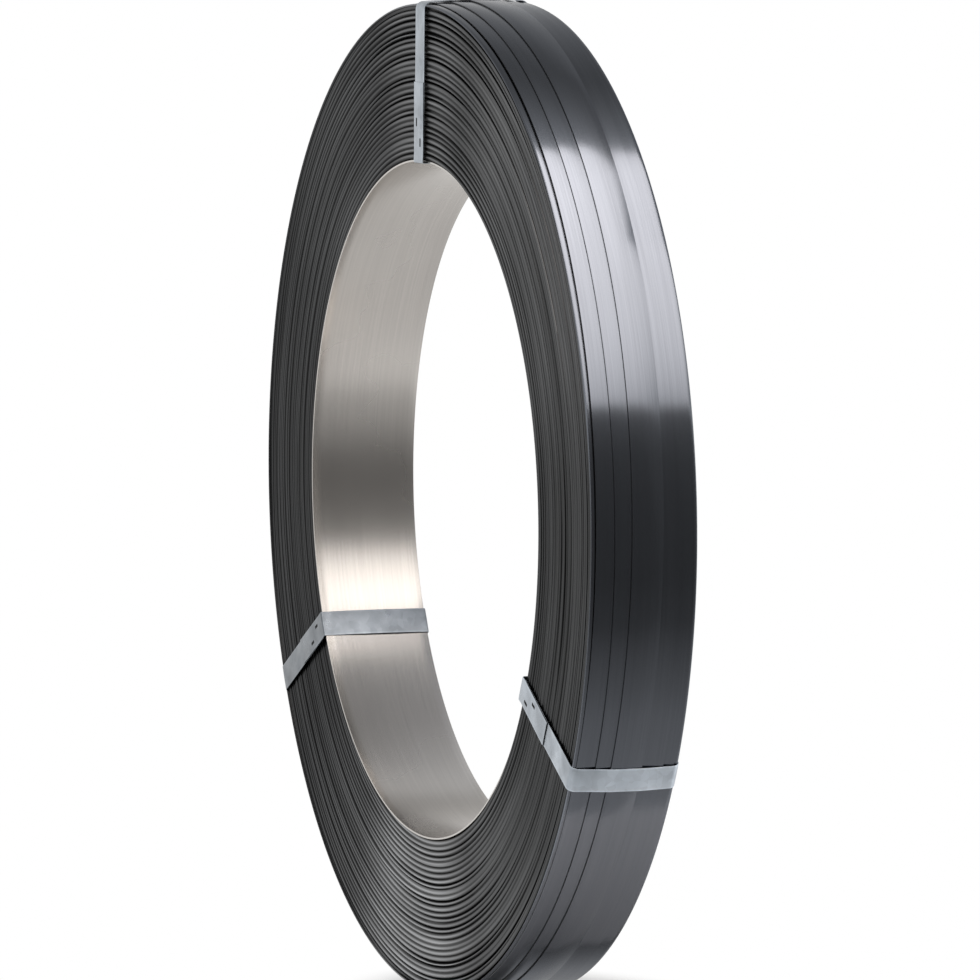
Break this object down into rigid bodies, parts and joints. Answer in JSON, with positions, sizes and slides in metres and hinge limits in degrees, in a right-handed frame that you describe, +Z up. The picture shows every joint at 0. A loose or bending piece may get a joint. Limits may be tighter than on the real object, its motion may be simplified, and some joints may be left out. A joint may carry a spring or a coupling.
{
  "type": "steel strapping coil",
  "caption": "Ring-shaped coil of narrow dark steel strip, wound to and fro across its width on a bright steel liner and held by flat steel ties through the bore.",
  "frame": {"origin": "centre of the bore, midway between the end faces", "axes": "+Y along the bore, towards the end face away from the tie joints; +Z up as the coil stands on its rim; +X to the right when the face with the tie joints is looked at"},
  "size_m": [0.6, 0.072, 0.6007],
  "materials": {
    "strip": "blued and waxed cold-rolled strip, dark blue-grey, glossy along the turns",
    "liner": "bright cold-rolled steel, satin",
    "tie": "zinc-coated strap, pale blue-grey, semi-bright"
  },
  "bodies": {
    "root": {"strip_winding": "strip", "bore_liner": "liner", "tie_band_top": "tie", "tie_band_left": "tie", "tie_band_right": "tie"}
  },
  "joints": []
}
